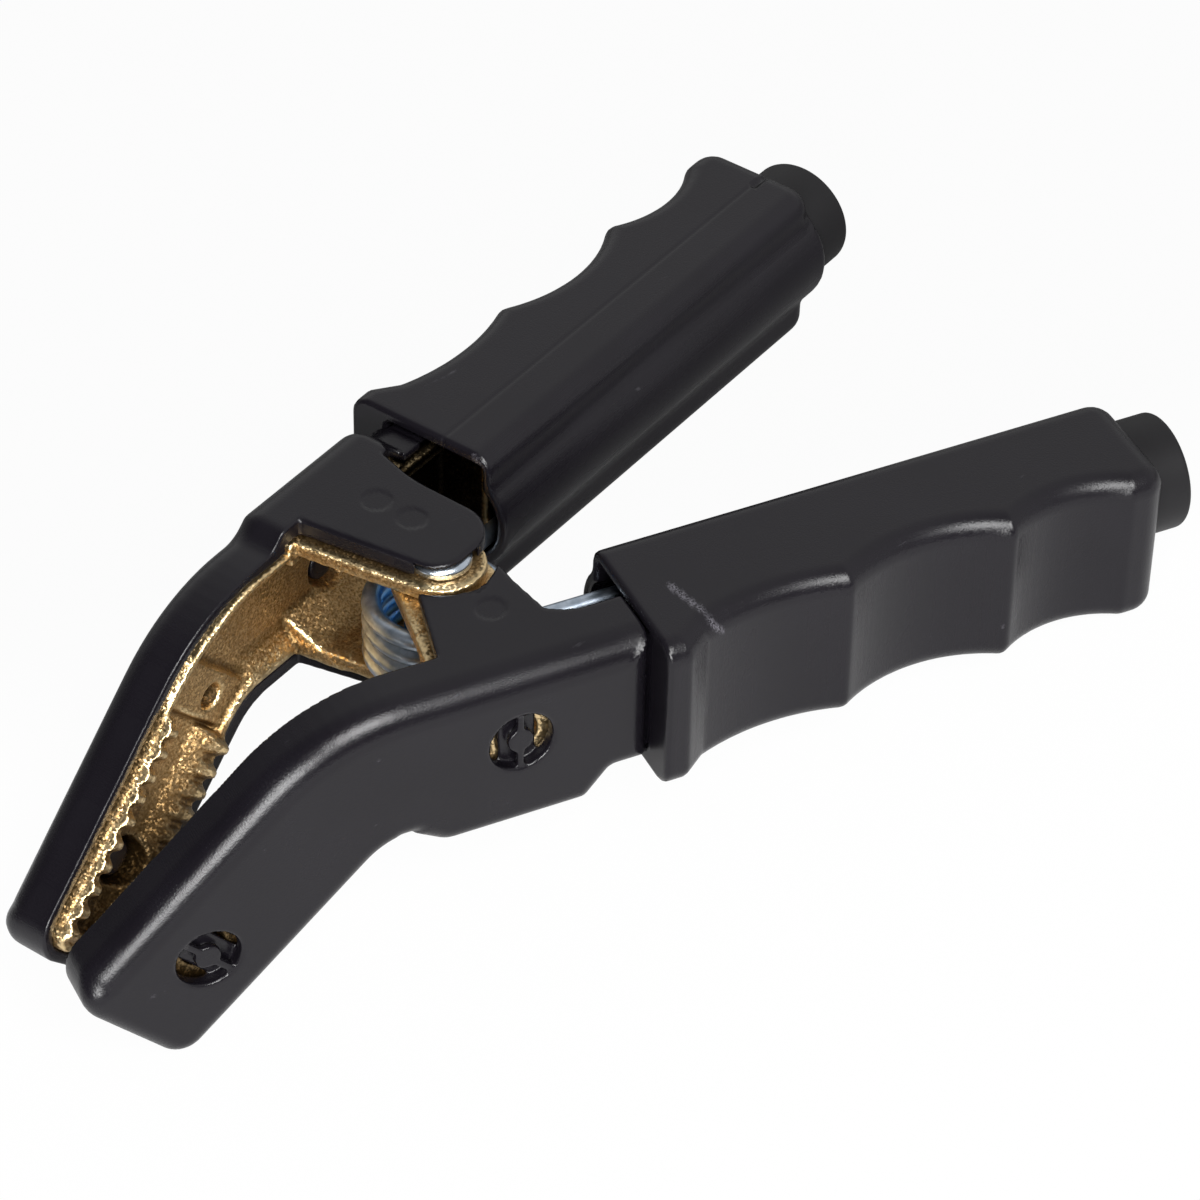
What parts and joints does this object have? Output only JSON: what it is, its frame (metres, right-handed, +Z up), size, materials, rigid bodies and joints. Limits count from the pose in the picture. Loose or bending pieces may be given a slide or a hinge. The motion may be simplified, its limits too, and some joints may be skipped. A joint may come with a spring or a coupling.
{
  "type": "ground clamp",
  "caption": "Insulated welding ground clamp: two brass jaws that droop below long finger-grooved handles, closed by a coil spring on one rivet, with cable outlets.",
  "frame": {"origin": "on the surface the clamp lies on, under the middle of its outline", "axes": "+X along the middle line towards the handles' ends, +Y towards the far arm, +Z up; the pivot axis leans 10.251 degrees from +Z towards +X"},
  "size_m": [0.2042, 0.1166, 0.0546],
  "materials": {
    "cast_brass": "as-cast, fine sand grain, bright worn edges",
    "black_nylon": "satin moulded nylon",
    "black_grip": "smooth matt moulding with soft sheen",
    "black_rubber": "plain extruded sleeve",
    "copper_sheet": "rolled copper sheet",
    "zinc_steel": "bright blue zinc plate",
    "zinc_spring": "bright blue zinc plate on spring wire",
    "plain_steel": "turned steel"
  },
  "bodies": {
    "near_arm": {"near_jaw_casting": "cast_brass", "near_jaw_cover": "black_nylon", "near_handle_grip": "black_grip", "near_cable_sleeve": "black_rubber", "near_conductor_sleeve": "copper_sheet", "near_clamp_screw_front": "plain_steel", "near_clamp_screw_rear": "plain_steel", "pivot_rivet": "zinc_steel", "pivot_washer": "zinc_steel", "spring_spacer": "plain_steel", "torsion_spring": "zinc_spring"},
    "far_arm": {"far_jaw_casting": "cast_brass", "far_jaw_cover": "black_nylon", "far_handle_grip": "black_grip", "far_cable_sleeve": "black_rubber", "far_conductor_sleeve": "copper_sheet", "far_clamp_screw_front": "plain_steel", "far_clamp_screw_rear": "plain_steel"}
  },
  "joints": [
    {"name": "jaw_hinge", "type": "hinge", "parent": "near_arm", "child": "far_arm", "pos_m": [-0.0183, 0, 0.0344], "axis": [-0.178, 0, -0.984], "range_deg": [0, 28], "stiffness_Nm_per_rad": 5, "springref_deg": -34.38, "deforming": ["torsion_spring"]}
  ]
}
